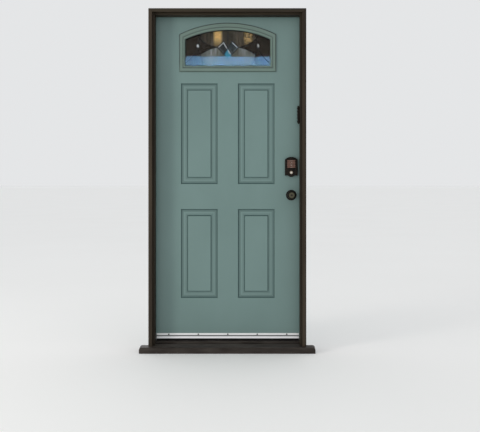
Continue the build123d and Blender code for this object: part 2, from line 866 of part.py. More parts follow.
def knob_blank():
    """Outside knob: shank, waist, swelling body and a flat face."""
    waist = 0.62 * knob_radius
    belly = -0.72 * knob_reach
    start = -rose_height - knob_gap
    swell = start - knob_shoulder - knob_waist
    return turned(
        bore_x, knob_z, (0, shank_depth), (shank_radius, shank_depth), (shank_radius, start),
        (waist, start - knob_shoulder), (waist, swell),
        (0.86 * knob_radius, 0.5 * (belly + swell) - 6, knob_radius, belly),
        (0.97 * knob_radius, belly - 7, knob_face_radius, -knob_reach), (0, -knob_reach)
    )


def keyway(x, z, y):
    """Slot for the key, cut in a plug's face at y."""
    return block(
        x - keyway_width / 2, x + keyway_width / 2, y - 1, y + 0.6 * plug_depth, z - keyway_height / 2,
        z + keyway_height / 2
    )


def make_outside_knob():
    """Outside knob with the bore for its key plug and the square spindle that turns the latch."""
    bore = plug_radius + plug_clearance
    knob = knob_blank() - bar_y(bore_x, knob_z, bore, -knob_reach - 1, plug_depth - knob_reach)
    half = spindle_width / 2
    return knob + block(
        bore_x - half, bore_x + half, 0, leaf_thickness - 0.6 * shank_depth, knob_z - half, knob_z + half
    )


def make_inside_knob():
    """Inside knob, bored for the turn button and socketed for the spindle."""
    knob = flip_inside(knob_blank())
    face = leaf_thickness + knob_reach
    knob -= bar_y(bore_x, knob_z, plug_radius + plug_clearance, face - plug_depth, face + 1)
    half = spindle_width / 2 + shank_clearance
    return knob - block(
        bore_x - half, bore_x + half, leaf_thickness - shank_depth - 1, leaf_thickness, knob_z - half,
        knob_z + half
    )


def make_key_plug(z, face):
    """Round key plug with its keyway, its front at depth face."""
    plug = bar_y(bore_x, z, plug_radius, face, face + plug_depth - plug_clearance)
    rim = plug.edges().filter_by(GeomType.CIRCLE).sort_by(Axis.Y)[0]
    return chamfer(rim, length=0.5) - keyway(bore_x, z, face)


def make_turn_button():
    """Turn button in the inside knob: a stem with a thumb bar across it."""
    face = leaf_thickness + knob_reach
    stem = bar_y(bore_x, knob_z, plug_radius, face - plug_depth + plug_clearance, face + 1)
    bar = Pos(bore_x, knob_z) * SlotOverall(turn_bar_length, turn_bar_width)
    return stem + slab(bar, face + 1, face + 1 + turn_bar_height)


def make_chassis():
    """Lock chassis in the cross bore, open to the knob shanks and to the latch."""
    body = bar_y(bore_x, knob_z, cross_bore_radius - 0.5, 0, leaf_thickness)
    bore = shank_radius + shank_clearance
    body -= bar_y(bore_x, knob_z, bore, -1, leaf_thickness + 1)
    return body - bar_x(mid_y, knob_z, case_radius + shank_clearance, bore_x, leaf_edge)


def faceplate(z):
    """Plate let into the leaf's edge, without its holes."""
    return block(
        leaf_edge - faceplate_thickness, leaf_edge, mid_y - faceplate_width / 2, mid_y + faceplate_width / 2,
        z - faceplate_height / 2, z + faceplate_height / 2
    )


def faceplate_holes(z):
    """Countersunk holes of a faceplate."""
    return [screw_hole_x(leaf_edge, mid_y, height, -1) for height in faceplate_screw_heights(z)]


def make_latch_case():
    """Latch tube with its faceplate."""
    start = bore_x + spindle_width
    case = bar_x(mid_y, knob_z, case_radius, start, leaf_edge - faceplate_thickness / 2) + faceplate(knob_z)
    case -= bar_x(mid_y, knob_z, latch_radius + bolt_clearance, start - 1, leaf_edge + 1)
    return cut_all(case, faceplate_holes(knob_z))


def make_latch_bolt():
    """Spring latch drawn back into the leaf, sloped on the side that meets the strike as the door shuts."""
    length = 2.2 * latch_throw
    tail = bore_x + spindle_width + 2
    bolt = bar_x(mid_y, knob_z, latch_radius, leaf_edge - length, leaf_edge)
    tip = leaf_edge
    low = mid_y - latch_radius
    slope = make_face(Polyline(
        (tip + 1, low - 1), (tip - latch_bevel, low - 1), (tip - latch_bevel, low),
        (tip, mid_y + 0.6 * latch_radius), (tip + 1, mid_y + 0.6 * latch_radius), close=True
    ))
    bolt -= Pos(0, 0, knob_z - latch_radius - 1) * extrude(slope, amount=2 * latch_radius + 2)
    return bolt + block(tail, leaf_edge - length + 1, mid_y - 2.5, mid_y + 2.5, knob_z - 3, knob_z + 3)


# Deadbolt


def make_deadbolt_case():
    """Deadbolt tube, faceplate and the flat hub that the tailpiece goes through."""
    hub = hub_half_width
    case = bar_x(mid_y, bolt_z, case_radius, bore_x + hub - 2, leaf_edge - faceplate_thickness / 2)
    case += faceplate(bolt_z)
    case += block(
        bore_x - hub, bore_x + hub, mid_y - hub_half_depth, mid_y + hub_half_depth, bolt_z - hub, bolt_z + hub
    )
    turn = (tail_width ** 2 + tail_thickness ** 2) ** 0.5 / 2 + tail_clearance
    case -= bar_y(bore_x, bolt_z, turn, 0, leaf_thickness)
    half_w = bolt_width / 2 + bolt_clearance
    half_h = bolt_height / 2 + bolt_clearance
    case -= block(
        bore_x + hub - 1, leaf_edge + 1, mid_y - half_w, mid_y + half_w, bolt_z - half_h, bolt_z + half_h
    )
    return cut_all(case, faceplate_holes(bolt_z))


def make_deadbolt():
    """Deadbolt drawn back, its end just inside the faceplate."""
    length = 1.6 * bolt_throw
    bolt = block(
        leaf_edge - length, leaf_edge - 0.1, mid_y - bolt_width / 2, mid_y + bolt_width / 2,
        bolt_z - bolt_height / 2, bolt_z + bolt_height / 2
    )
    ends = bolt.faces().sort_by(Axis.X)[-1].edges()
    return chamfer(ends, length=0.8)


def keypad_outline(margin):
    """Front of the keypad housing: straight sides, arched crown and a small rounded chin."""
    half = keypad_width / 2 - margin
    low = bolt_z - keypad_below + margin
    shoulder = bolt_z + keypad_shoulder - margin
    chin = 0.55 * half
    lines = Curve() + [
        Line((half, low), (half, shoulder)),
        ThreePointArc((half, shoulder), (0, shoulder + keypad_crown), (-half, shoulder)),
        Line((-half, shoulder), (-half, low)), Line((-half, low), (-chin, low)),
        ThreePointArc((-chin, low), (0, low - keypad_chin), (chin, low)), Line((chin, low), (half, low)),
    ]
    return Pos(bore_x, 0) * make_face(lines)


def button_heights():
    """Middle heights of the push buttons, lowest first."""
    first = bolt_z + keypad_field_bottom + 0.6 * button_height
    return [first + number * button_pitch for number in range(button_count)]


def make_keypad_housing():
    """Cast outside housing with a sunk field for the buttons and a bore for the key cylinder."""
    front = -keypad_depth
    edge = front + keypad_round
    housing = slab(keypad_outline(0), edge, 0)
    housing += loft([upright(edge) * keypad_outline(0), upright(front) * keypad_outline(keypad_round)], ruled=True)
    half = keypad_field_width / 2
    field = keypad_outline(keypad_field_margin) & (
        Pos(bore_x, bolt_z + keypad_field_bottom + keypad_width) * Rectangle(2 * half, 2 * keypad_width)
    )
    housing -= slab(field, front - 1, front + keypad_field_depth)
    slot_depth = keypad_field_depth + button_root + button_travel + button_clearance
    for z in button_heights():
        width = button_width + 2 * button_clearance
        height = button_height + 2 * button_clearance
        housing -= slab(Pos(bore_x, z) * RectangleRounded(width, height, 2 + button_clearance), front - 1,
                        front + slot_depth)
    return housing - bar_y(bore_x, bolt_z, collar_radius + plug_clearance, front - 1, front + collar_depth)


def make_button(z):
    """One wide push button, crowned at its front edge."""
    front = keypad_field_depth - keypad_depth - button_stand
    back = keypad_field_depth - keypad_depth + button_root
    shape = Pos(bore_x, z) * RectangleRounded(button_width, button_height, 2)
    crest = Pos(bore_x, z) * RectangleRounded(button_width - 2, button_height - 2, 1)
    crown = loft([upright(front + 1) * shape, upright(front) * crest], ruled=True)
    return slab(shape, front + 1, back) + crown


def make_collar():
    """Bright collar round the key plug."""
    front = -keypad_depth - collar_stand
    collar = bar_y(bore_x, bolt_z, collar_radius, front, collar_depth - keypad_depth)
    rim = collar.edges().filter_by(GeomType.CIRCLE).sort_by(Axis.Y)[0]
    collar = chamfer(rim, length=1.2)
    return collar - bar_y(bore_x, bolt_z, plug_radius + plug_clearance, front - 1, front + plug_depth)


def make_inside_housing():
    """Inside housing over the bolt's works, bored for the thumbturn's shaft."""
    middle = bolt_z + (inside_above - inside_below) / 2
    height = inside_above + inside_below
    back = leaf_thickness + inside_depth
    body = slab(
        Pos(bore_x, middle) * RectangleRounded(inside_width, height, 2 * inside_round), leaf_thickness, back
    )
    rim = body.faces().sort_by(Axis.Y)[-1].edges()
    body = chamfer(rim, length=0.5 * inside_round)
    line = 0.3 * inside_above
    body -= block(bore_x - inside_width, bore_x + inside_width, back - 1.2, back + 1, bolt_z + line,
                  bolt_z + line + 1.2)
    return body - bar_y(bore_x, bolt_z, thumb_shaft_radius + shank_clearance, 0, back + 1)


def make_thumbturn():
    """Thumbturn: a waisted bar on a shaft, with the tailpiece that turns the bolt."""
    back = leaf_thickness + inside_depth
    shaft = bar_y(bore_x, bolt_z, thumb_shaft_radius, leaf_thickness, back + 2)
    washer = bar_y(bore_x, bolt_z, 1.8 * thumb_shaft_radius, back + shank_clearance, back + thumb_washer)
    grip = slab(
        Pos(bore_x, bolt_z) * Rot(0, 0, 90) * SlotOverall(thumb_length, thumb_width), back + thumb_washer,
        back + thumb_reach
    )
    sides = grip.faces().sort_by(Axis.Y)[-1].edges()
    grip = chamfer(sides, length=1.5)
    tail = block(
        bore_x - tail_thickness / 2, bore_x + tail_thickness / 2, mid_y - 9, leaf_thickness,
        bolt_z - tail_width / 2, bolt_z + tail_width / 2
    )
    return shaft + washer + grip + tail


# Strikes on the lock-side jamb


def strike_plate(z, half_height):
    """Plate let into the jamb, with a hole for the bolt and countersunk screw holes."""
    low = mid_y - strike_width / 2
    plate = block(
        rabbet_face, rabbet_face + strike_thickness, low, mid_y + strike_width / 2, z - strike_height / 2,
        z + strike_height / 2
    )
    half = case_radius - 1
    plate -= block(rabbet_face - 1, jamb_back, mid_y - half, mid_y + half, z - half_height, z + half_height)
    for height in faceplate_screw_heights(z):
        plate -= screw_hole_x(rabbet_face, mid_y, height, 1)
    return plate


def make_latch_strike():
    """Latch strike with a lip that runs out over the jamb's inside edge."""
    plate = strike_plate(knob_z, latch_radius + strike_hole_margin)
    low = mid_y + strike_width / 2
    bend = make_face(Polyline(
        (rabbet_face, low), (rabbet_face + strike_thickness, low),
        (rabbet_face + strike_thickness, frame_back), (rabbet_face + strike_lip, frame_back + strike_lip / 2),
        (rabbet_face + strike_lip, frame_back + strike_lip / 2 + strike_thickness),
        (rabbet_face, frame_back + 0.4), close=True
    ))
    return plate + Pos(0, 0, knob_z - strike_lip_height / 2) * extrude(bend, amount=strike_lip_height)


def strike_cuts():
    """Recesses, bolt pockets and screw holes in the lock-side jamb."""
    cuts = []
    half = case_radius - 1
    lip = strike_lip_height / 2 + mortise_clearance
    for z, half_height in (
        (knob_z, latch_radius + strike_hole_margin),
        (bolt_z, bolt_height / 2 + strike_hole_margin),
    ):
        tall = strike_height / 2 + mortise_clearance
        wide = strike_width / 2 + mortise_clearance
        cuts.append(block(
            rabbet_face - 1, rabbet_face + strike_thickness, mid_y - wide, mid_y + wide, z - tall, z + tall
        ))
        cuts.append(block(
            rabbet_face - 1, jamb_back + 1, mid_y - half, mid_y + half, z - half_height, z + half_height
        ))
        for height in faceplate_screw_heights(z):
            cuts.append(screw_hole_x(rabbet_face, mid_y, height, 1))
    cuts.append(block(
        rabbet_face - 1, rabbet_face + strike_thickness, mid_y, frame_back + 1, knob_z - lip, knob_z + lip
    ))
    return cuts


def make_doorpost_case():
    """Slim case on the lock-side post: a round body ringed with beads, pointed at each end, on a flat back."""
    half = case_length / 2
    radius = case_half_width
    neck = 0.8 * radius
    points = [(0, -half), (0.45 * radius, -half + case_point / 3), (neck, -half + case_point)]
    pitch = (case_length - 2 * case_bead_margin) / (case_beads - 1)
    for number in range(case_beads):
        middle = -half + case_bead_margin + number * pitch
        points += [(neck, middle - 4), (radius, middle - 2.5), (radius, middle + 2.5), (neck, middle + 4)]
    points += [(neck, half - case_point), (0.45 * radius, half - case_point / 3), (0, half)]
    body = Pos(-case_stand, 0, 0) * revolve(Plane.XZ * make_face(Polyline(*points, close=True)), axis=Axis.Z)
    front = body & block(-case_stand - 2 * radius, 0, -2 * radius, 2 * radius, -half - 1, half + 1)
    front += block(-case_stand, 0, -0.6 * radius, 0.6 * radius, case_point - half, half - case_point)
    back = block(-case_plate, 0, -0.5 * radius, 0.5 * radius, -half - case_ear, half + case_ear)
    for end in (-1, 1):
        back -= case_nail_bar(end, nail_radius + nail_clearance, -case_plate - 1, 1)
    return case_place() * (front + back)


def case_place():
    """Where the case sits on the stop's inner face, leaning into the house."""
    return Pos(stop_face, (frame_front - seal_length) / 2, case_height) * Rot(-case_tilt, 0, 0)


def case_nail_bar(end, radius, x0, x1):
    """A round bar along one of the case's nails, in the case's own place."""
    return bar_x(0, end * (case_length / 2 + 0.55 * case_ear), radius, x0, x1)


def case_nail_holes():
    """The holes that the two nails leave in the jamb."""
    radius = nail_radius + nail_clearance
    return [case_place() * case_nail_bar(end, radius, -1, nail_length + 1) for end in (-1, 1)]


def make_case_nails():
    """Two round-headed nails through the ears of the case."""
    return group([
        case_place() * (
            case_nail_bar(end, nail_head_radius, -case_plate - nail_head_height, -case_plate)
            + case_nail_bar(end, nail_radius, -case_plate, nail_length)
        )
        for end in (-1, 1)
    ])


# Put together


def build():
    """Every node of the door by name."""
    grooves = [panel_groove(x, z, height) for x, z, height in panels]
    light_cut = slab(light_outline(cut_share), -2, leaf_thickness + 2)
    leaf_hinge_cuts = hinge_cuts(1)
    locks = lock_cuts()
    sweep_holes = [
        bar_y(x, z, screw_shank_radius + screw_clearance, -1, screw_length + screw_clearance)
        for x, z in sweep_screw_places()
    ]
    light_holes = [
        bar_y(x, z, screw_shank_radius + screw_clearance, leaf_thickness - screw_length - screw_clearance,
              leaf_thickness + light_frame_height + 1)
        for x, z in light_screw_places()
    ]
    outside = make_skin(grooves, [light_cut] + locks + sweep_holes)
    inside = cut_all(flip_inside(make_skin(grooves, [light_cut])), leaf_hinge_cuts + locks + light_holes)
    sill = make_sill()
    rail_low = leaf_bottom + skin_thickness
    rail_high = leaf_top - skin_thickness
    lock_block = cut_all(
        block(
            lock_block_x, stile_x, skin_thickness, leaf_thickness - skin_thickness, lock_block_low, lock_block_high
        ),
        locks,
    )
    cut_glass, petals, fields = make_leaded_glass()
    outside_frame = make_light_frame()
    spacer = light_ring(unit_share - 0.03, 0.07, unit_front + pane_thickness, came_front)
    pane = slab(light_outline(unit_share), unit_front, unit_front + pane_thickness)
    hinge_places = [place for height in hinge_heights for place in hinge_screw_places(height)]
    plate_heights = faceplate_screw_heights(knob_z) + faceplate_screw_heights(bolt_z)
    frame_screws = [screw_x(hinge_x - leaf_gap / 2, y, z, -1) for y, z in hinge_places]
    frame_screws += [screw_x(rabbet_face, mid_y, z, 1) for z in plate_heights]
    leaf_screws = [screw_x(hinge_x + leaf_gap / 2, y, z, 1) for y, z in hinge_places]
    leaf_screws += [screw_x(leaf_edge, mid_y, z, -1) for z in plate_heights]
    sweep_screws = [
        screw_y(x, z, -sweep_flange, 1, screw_head_radius, screw_shank_radius, screw_length, pan_height)
        for x, z in sweep_screw_places()
    ]
    inner_face = leaf_thickness + light_frame_height
    light_screws = [
        screw_y(x, z, inner_face, -1, screw_head_radius, screw_shank_radius,
                screw_length + light_frame_height - 1, 0.9 * pan_height)
        for x, z in light_screw_places()
    ]
    nodes = {
        "sill": sill,
        "threshold": make_threshold(),
        "jamb_hinge_side": cut_all(make_side_jamb(-1, sill), hinge_cuts(-1)),
        "jamb_lock_side": cut_all(make_side_jamb(1, sill), strike_cuts() + case_nail_holes()),
        "head_jamb": make_head_jamb(),
        "mould_hinge_side": make_side_mould(-1, sill),
        "mould_lock_side": make_side_mould(1, sill),
        "mould_head": make_head_mould(),
        "weatherstrips": make_weatherstrips(),
        "hinge_frame_plates": group([make_hinge_plate(z, -1, (0, 2, 4)) for z in hinge_heights]),
        "hinge_pins": group([make_hinge_pin(z) for z in hinge_heights]),
        "frame_screws": group(frame_screws),
        "latch_strike": make_latch_strike(),
        "deadbolt_strike": strike_plate(bolt_z, bolt_height / 2 + strike_hole_margin),
        "doorpost_case": make_doorpost_case(),
        "doorpost_nails": make_case_nails(),
        "skin_outside": outside,
        "skin_inside": inside,
        "hinge_stile": make_stile(-1, leaf_hinge_cuts),
        "lock_stile": make_stile(1, locks),
        "top_rail": make_rail(leaf_top - rail_height, rail_high, (rail_high, leaf_top)),
        "bottom_rail": cut_all(
            make_rail(rail_low, leaf_bottom + rail_height, (leaf_bottom, rail_low)), sweep_holes
        ),
        "lock_block": lock_block,
        "foam_core": cut_all(make_core(grooves, []), light_holes),
        "hinge_leaf_plates": group([make_hinge_plate(z, 1, (1, 3)) for z in hinge_heights]),
        "leaf_screws": group(leaf_screws),
        "light_frame_outside": outside_frame,
        "light_frame_inside": cut_all(flip_inside(outside_frame), light_holes),
        "light_screws": group(light_screws),
        "pane_outside": pane,
        "pane_inside": flip_inside(pane),
        "pane_spacers": group([spacer, flip_inside(spacer)]),
        "came_network": make_cames(),
        "bevels_and_jewels": cut_glass,
        "petal_glass": petals,
        "field_glass": fields,
        "sweep_bar": make_sweep_bar(),
        "sweep_fin": make_sweep_fin(),
        "sweep_screws": group(sweep_screws),
        "keypad_housing": make_keypad_housing(),
        "cylinder_collar": make_collar(),
        "inside_housing": make_inside_housing(),
        "deadbolt_case": make_deadbolt_case(),
        "lock_chassis": make_chassis(),
        "rose_outside": make_rose(),
        "rose_inside": flip_inside(make_rose()),
        "latch_case": make_latch_case(),
        "knob_outside": make_outside_knob(),
        "knob_key_plug": make_key_plug(knob_z, -knob_reach),
        "knob_inside": make_inside_knob(),
        "turn_button": make_turn_button(),
        "latch_bolt": make_latch_bolt(),
        "deadbolt": make_deadbolt(),
        "thumbturn": make_thumbturn(),
        "deadbolt_key_plug": make_key_plug(bolt_z, -keypad_depth - collar_stand),
    }
    for number, z in enumerate(button_heights(), start=1):
        nodes[f"keypad_button_{number}"] = make_button(z)
    return nodes


os.makedirs("parts", exist_ok=True)
for name, node in build().items():
    node.label = name
    export_step(node, f"parts/{name}.step")
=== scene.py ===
import math

import bmesh
import bpy
from mathutils import Matrix, Vector


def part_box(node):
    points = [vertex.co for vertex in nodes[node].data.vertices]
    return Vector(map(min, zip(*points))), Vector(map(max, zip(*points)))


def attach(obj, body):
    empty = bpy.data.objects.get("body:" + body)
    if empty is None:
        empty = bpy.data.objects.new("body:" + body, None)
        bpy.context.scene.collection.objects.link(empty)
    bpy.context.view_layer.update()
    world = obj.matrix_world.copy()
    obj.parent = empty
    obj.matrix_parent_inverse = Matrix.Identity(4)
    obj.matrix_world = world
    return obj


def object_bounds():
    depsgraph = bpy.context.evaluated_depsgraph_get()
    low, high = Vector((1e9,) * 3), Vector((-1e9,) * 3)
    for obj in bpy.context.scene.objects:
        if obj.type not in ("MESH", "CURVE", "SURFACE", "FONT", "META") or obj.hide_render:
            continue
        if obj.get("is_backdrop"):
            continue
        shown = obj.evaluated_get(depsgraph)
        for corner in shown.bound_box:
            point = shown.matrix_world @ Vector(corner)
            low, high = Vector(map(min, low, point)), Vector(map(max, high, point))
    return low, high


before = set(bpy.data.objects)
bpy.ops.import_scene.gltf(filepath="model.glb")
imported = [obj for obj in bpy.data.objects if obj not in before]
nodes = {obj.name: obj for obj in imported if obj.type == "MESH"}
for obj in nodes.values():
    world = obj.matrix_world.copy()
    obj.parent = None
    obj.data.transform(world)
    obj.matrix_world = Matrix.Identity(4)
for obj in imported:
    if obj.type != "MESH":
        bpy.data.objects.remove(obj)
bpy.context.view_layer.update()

# Sill and threshold
# Softwood sill with an eased nose and a horn at each end, and a flat saddle on it under the leaf.
# Both are painted dark brown, and the paint is scuffed on the treads.
SILL_DARK = (0.016, 0.011, 0.008)
SILL_WORN = (0.044, 0.036, 0.030)
NOISE_DETAIL = 4.0
SILL_EASE = 0.002
JOINED_CORNER = 0.00002
SHARP_CORNER = math.radians(40)


def finish(name, roughness, metal=0.0, coat=0.0, shine=0.5):
    """A new material, with its shader's plain values set. A low shine is a dull, open surface."""
    material = bpy.data.materials.new(name)
    material.use_nodes = True
    shader = material.node_tree.nodes["Principled BSDF"]
    shader.inputs["Roughness"].default_value = roughness
    shader.inputs["Metallic"].default_value = metal
    shader.inputs["Coat Weight"].default_value = coat
    shader.inputs["Specular IOR Level"].default_value = shine
    return material


def pattern(material, scale, stretch=(1, 1, 1)):
    """A noise laid over the piece in metres, drawn out along the axes with a small stretch."""
    tree = material.node_tree
    place = tree.nodes.new("ShaderNodeTexCoord")
    spread = tree.nodes.new("ShaderNodeMapping")
    spread.inputs["Scale"].default_value = stretch
    noise = tree.nodes.new("ShaderNodeTexNoise")
    noise.inputs["Scale"].default_value = scale
    noise.inputs["Detail"].default_value = NOISE_DETAIL
    tree.links.new(place.outputs["Object"], spread.inputs["Vector"])
    tree.links.new(spread.outputs["Vector"], noise.inputs["Vector"])
    return noise.outputs["Fac"]


def graded(tree, value, stops):
    """Colours along a value from 0 to 1, as (position, colour) pairs."""
    bands = tree.nodes.new("ShaderNodeValToRGB")
    while len(bands.color_ramp.elements) < len(stops):
        bands.color_ramp.elements.new(0.5)
    for element, (position, colour) in zip(bands.color_ramp.elements, stops):
        element.position = position
        element.color = (*colour, 1)
    tree.links.new(value, bands.inputs["Fac"])
    return bands.outputs["Color"]


def colour_by(material, colour):
    """Gives the material's shader its colour."""
    tree = material.node_tree
    tree.links.new(colour, tree.nodes["Principled BSDF"].inputs["Base Color"])


def mottle(material, dark, light, scale, stretch=(1, 1, 1), spread=(0.3, 0.7)):
    """Colours the piece from dark to light over a noise, between the two values of spread."""
    stops = [(spread[0], dark), (spread[1], light)]
    colour = graded(material.node_tree, pattern(material, scale, stretch), stops)
    colour_by(material, colour)
    return colour


def relief(material, scale, depth, stretch=(1, 1, 1)):
    """A noise in the surface, as high as depth in metres."""
    height = pattern(material, scale, stretch)
    tree = material.node_tree
    bump = tree.nodes.new("ShaderNodeBump")
    bump.inputs["Distance"].default_value = depth
    tree.links.new(height, bump.inputs["Height"])
    tree.links.new(bump.outputs["Normal"], tree.nodes["Principled BSDF"].inputs["Normal"])


def dress(material, *names):
    """Gives CAD nodes their material."""
    for name in names:
        nodes[name].data.materials.clear()
        nodes[name].data.materials.append(material)


def ease_edges(width, *names):
    """Rounds the sharp edges of CAD nodes a little, as sanding and paint do."""
    for name in names:
        weld = nodes[name].modifiers.new("joined corners", "WELD")
        weld.merge_threshold = JOINED_CORNER
        bevel = nodes[name].modifiers.new("eased edges", "BEVEL")
        bevel.width = width
        bevel.segments = 2
        bevel.limit_method = "ANGLE"
        bevel.angle_limit = SHARP_CORNER
        bevel.harden_normals = True


sill_paint = finish("sill paint", roughness=0.5, shine=0.25)
mottle(sill_paint, SILL_DARK, SILL_WORN, scale=7, stretch=(1, 5, 5), spread=(0.35, 0.68))
relief(sill_paint, scale=30, depth=0.0004, stretch=(0.12, 3, 3))
dress(sill_paint, "sill", "threshold")
ease_edges(SILL_EASE, "sill", "threshold")

# Side jambs and head jamb
# Softwood, each milled in one piece with its stop, scribed over the sill and nailed at the head.
# They carry the same dark brown in a satin paint, with the grain faint under it.
FRAME_DARK = (0.017, 0.012, 0.007)
FRAME_LIGHT = (0.036, 0.027, 0.016)
UPRIGHT_GRAIN = (4, 4, 0.15)
LEVEL_GRAIN = (0.15, 4, 4)
JAMB_EASE = 0.0012


def frame_paint(name, grain, dark=FRAME_DARK, light=FRAME_LIGHT):
    """Dark brown satin paint over the wood's grain."""
    paint = finish(name, roughness=0.55, shine=0.2)
    mottle(paint, dark, light, scale=9, stretch=grain, spread=(0.35, 0.7))
    relief(paint, scale=45, depth=0.00035, stretch=grain)
    return paint


upright_paint = frame_paint("jamb paint", UPRIGHT_GRAIN)
level_paint = frame_paint("head paint", LEVEL_GRAIN)
dress(upright_paint, "jamb_hinge_side", "jamb_lock_side")
dress(level_paint, "head_jamb")
ease_edges(JAMB_EASE, "jamb_hinge_side", "jamb_lock_side", "head_jamb")

# Moulds
# Slim stucco moulds nailed to the front edges of the jambs and mitred at the head.
# They have the jambs' paint. On the two legs it is painted a lighter, redder tone that stands in
# for the light falling on them.
LIT_MOULD_DARK = (0.022, 0.015, 0.009)
LIT_MOULD_LIGHT = (0.052, 0.038, 0.024)

# The legs' lighter tone is painted light; the head keeps the jambs' tone.
lit_mould_paint = frame_paint("lit mould paint", UPRIGHT_GRAIN, LIT_MOULD_DARK, LIT_MOULD_LIGHT)
dress(lit_mould_paint, "mould_hinge_side", "mould_lock_side")
dress(level_paint, "mould_head")

# Weatherstrips
# Foam-filled seals with a soft black skin, bonded along the back of the stops,
# so that the leaf closes against them.
SEAL_DARK = (0.008, 0.008, 0.008)
SEAL_LIGHT = (0.018, 0.018, 0.017)

seal_skin = finish("seal skin", roughness=0.75)
mottle(seal_skin, SEAL_DARK, SEAL_LIGHT, scale=60)
relief(seal_skin, scale=400, depth=0.0002)
dress(seal_skin, "weatherstrips")

# Hinges, strikes and their screws
# Butt hinges with loose pins, strike plates and countersunk screws, all in a dark oil-rubbed bronze
# mottled with a lighter brown.
BRONZE_DARK = (0.004, 0.003, 0.002)
BRONZE_LIGHT = (0.020, 0.014, 0.010)
BRONZE_SPREAD = (0.35, 0.75)
CAST_DEPTH = 0.00006

bronze = finish("oil-rubbed bronze", roughness=0.4, metal=0.12, shine=0.14)
mottle(bronze, BRONZE_DARK, BRONZE_LIGHT, scale=55, spread=BRONZE_SPREAD)
relief(bronze, scale=700, depth=CAST_DEPTH)
dress(bronze, "hinge_frame_plates", "hinge_leaf_plates", "hinge_pins")
dress(bronze, "latch_strike", "deadbolt_strike", "frame_screws", "leaf_screws")

# Case on the lock-side post
# A slim turned case, half round and ringed with beads, cast in metal and darkened like the hinges.
# It is nailed to the post at a slant through its two ears.
dress(bronze, "doorpost_case")

# Nails of the case
# Two round-headed steel nails, driven through the ears into the post.
# Their heads have gone dull and grey.
NAIL_DARK = (0.20, 0.20, 0.19)
NAIL_LIGHT = (0.38, 0.38, 0.36)

dull_steel = finish("dull steel", roughness=0.42, metal=0.9)
mottle(dull_steel, NAIL_DARK, NAIL_LIGHT, scale=90)
dress(dull_steel, "doorpost_nails")

# Door skins
# Two sheets of steel pressed with four raised panels, bonded to the core and painted sage in satin.
# Painted shade darkens the pressed grooves, most of all on the slopes that face up.
GREEN = (0.153, 0.242, 0.230)
GREEN_SHADE = (0.138, 0.221, 0.209)
# The colour below and the amounts after it paint shade into the grooves: full on slopes that face
# up, less on those that face down.
GROOVE_SHADE_GREEN = (0.034, 0.078, 0.074)
FLAT = 0.97
STEEP = 0.72
UPWARD = 0.6
DOWNWARD_SHADE = 0.45
SKIN_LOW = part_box("skin_outside")[0].z
PANEL_MIDDLE = 0.177
PANEL_HALF_WIDTH = 0.114
PANEL_ROWS = ((SKIN_LOW + 1.2760, 0.3125), (SKIN_LOW + 0.5315, 0.2760))
GROOVE_WIDTH = 0.044
GROOVE_SHADE_PROFILE = (
    (0.00, 0.60), (0.14, 0.86), (0.18, 0.44), (0.37, 0.38), (0.44, 0.0), (0.56, 0.0),
    (0.66, 0.24), (0.85, 0.32), (0.89, 0.62), (1.00, 0.20),
)
MIX_AMOUNT, MIX_UNDER, MIX_OVER, MIX_RESULT = 0, 6, 7, 2


def reckon(tree, operation, *values):
    """One step of arithmetic on sockets and plain values."""
    step = tree.nodes.new("ShaderNodeMath")
    step.operation = operation
    for socket, value in zip(step.inputs, values):
        if isinstance(value, (int, float)):
            socket.default_value = value
        else:
            tree.links.new(value, socket)
    return step.outputs[0]


def sum_of(tree, first, share, second):
    """first * share + second."""
    return reckon(tree, "MULTIPLY_ADD", first, share, second)


def within(tree, value, middle, reach):
    """1 where a value is within reach of middle, else 0."""
    return reckon(tree, "COMPARE", value, middle, reach)


def magnitude(tree, value):
    """A value without its sign."""
    return reckon(tree, "ABSOLUTE", value)


def combine(tree, operation, first, *others):
    """Sockets multiplied, or the largest or the smallest of them."""
    result = first
    for other in others:
        result = reckon(tree, operation, result, other)
    return result


def ramp(tree, value, start, end, low=0.0, high=1.0):
    """low where a value is at start, high where it is at end, and held at both."""
    step = tree.nodes.new("ShaderNodeMapRange")
    step.inputs["From Min"].default_value = start
    step.inputs["From Max"].default_value = end
    step.inputs["To Min"].default_value = low
    step.inputs["To Max"].default_value = high
    tree.links.new(value, step.inputs["Value"])
    return step.outputs["Result"]


def profile(tree, value, stops):
    """A height that follows (position, height) pairs along a value from 0 to 1."""
    return graded(tree, value, [(position, (height,) * 3) for position, height in stops])


def cover(tree, colour, amount, paint):
    """A colour covered as far as amount goes by another, which is a socket or a plain colour."""
    layer = tree.nodes.new("ShaderNodeMix")
    layer.data_type = "RGBA"
    tree.links.new(amount, layer.inputs[MIX_AMOUNT])
    tree.links.new(colour, layer.inputs[MIX_UNDER])
    if isinstance(paint, tuple):
        layer.inputs[MIX_OVER].default_value = (*paint, 1)
    else:
        tree.links.new(paint, layer.inputs[MIX_OVER])
    return layer.outputs[MIX_RESULT]


def axes(tree, kind):
    """Where a point is on the piece ("Object"), or which way it faces ("Normal"), by axis."""
    source = tree.nodes.new("ShaderNodeTexCoord")
    parts = tree.nodes.new("ShaderNodeSeparateXYZ")
    tree.links.new(source.outputs[kind], parts.inputs["Vector"])
    return parts.outputs


def panel_inset(tree, place):
    """How far a point lies inside the edge of a pressed panel, and below 0 outside them all."""
    across = magnitude(tree, sum_of(tree, magnitude(tree, place["X"]), 1.0, -PANEL_MIDDLE))
    across = sum_of(tree, across, 1.0, -PANEL_HALF_WIDTH)
    rows = []
    for middle, half_height in PANEL_ROWS:
        along = magnitude(tree, sum_of(tree, place["Z"], 1.0, -middle))
        rows.append(sum_of(tree, along, 1.0, -half_height))
    outside = combine(tree, "MAXIMUM", across, combine(tree, "MINIMUM", *rows))
    return sum_of(tree, outside, -1.0, 0.0)


